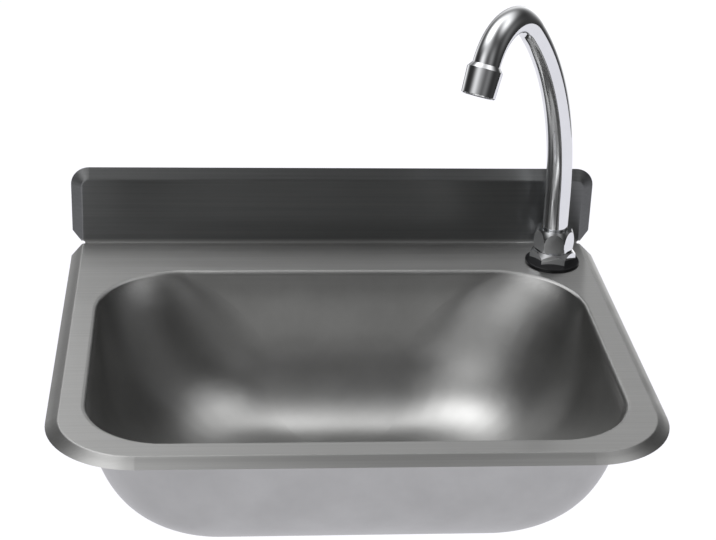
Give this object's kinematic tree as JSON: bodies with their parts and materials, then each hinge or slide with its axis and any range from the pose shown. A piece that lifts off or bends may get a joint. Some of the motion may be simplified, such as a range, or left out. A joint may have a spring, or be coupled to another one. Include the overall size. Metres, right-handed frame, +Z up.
{
  "type": "wall-hung hand wash basin",
  "caption": "Wall-hung stainless steel hand wash basin pressed from one sheet, with an upstand, a swivelling swan-neck spout with an aerator, and a screwed strainer waste.",
  "frame": {"origin": "On the wall plane, in the middle of the basin left to right, level with the top face of the deck.", "axes": "+Z up, +Y towards the wall, +X to the right along the wall as seen from the front."},
  "size_m": [0.4, 0.33, 0.3511],
  "materials": {
    "basin_sheet": "satin brushed stainless sheet",
    "hanger_steel": "plain mill-finish stainless strip",
    "strainer_steel": "polished stainless",
    "tap_chrome": "polished chrome plate on brass",
    "raw_brass": "turned brass",
    "black_rubber": "smooth moulded rubber",
    "grey_fibre": "pressed fibre washer",
    "white_plastic": "moulded white plastic",
    "black_plastic": "moulded black plastic"
  },
  "bodies": {
    "basin_fixed": {"basin": "basin_sheet", "hook_rail": "hanger_steel", "wall_bracket": "hanger_steel", "tap_gasket": "black_rubber", "tap_base": "tap_chrome", "deck_washer": "grey_fibre", "backnut": "raw_brass", "spout_nut": "tap_chrome", "glide_ring": "white_plastic", "strainer_plate": "strainer_steel", "strainer_seal": "black_rubber", "tail_seal": "black_rubber", "waste_tail": "white_plastic", "waste_screw": "strainer_steel"},
    "spout": {"spout_collar": "raw_brass", "spout_o_rings": "black_rubber", "spout_tube": "tap_chrome", "spout_tip": "tap_chrome", "aerator_housing": "tap_chrome", "aerator_washer": "black_rubber", "aerator_insert": "black_plastic", "aerator_screen": "black_plastic"}
  },
  "joints": [
    {"name": "spout_swivel", "type": "hinge", "parent": "basin_fixed", "child": "spout", "pos_m": [0.1645, -0.0415, 0], "axis": [0, 0, 1], "range_deg": [-62, 138]}
  ]
}
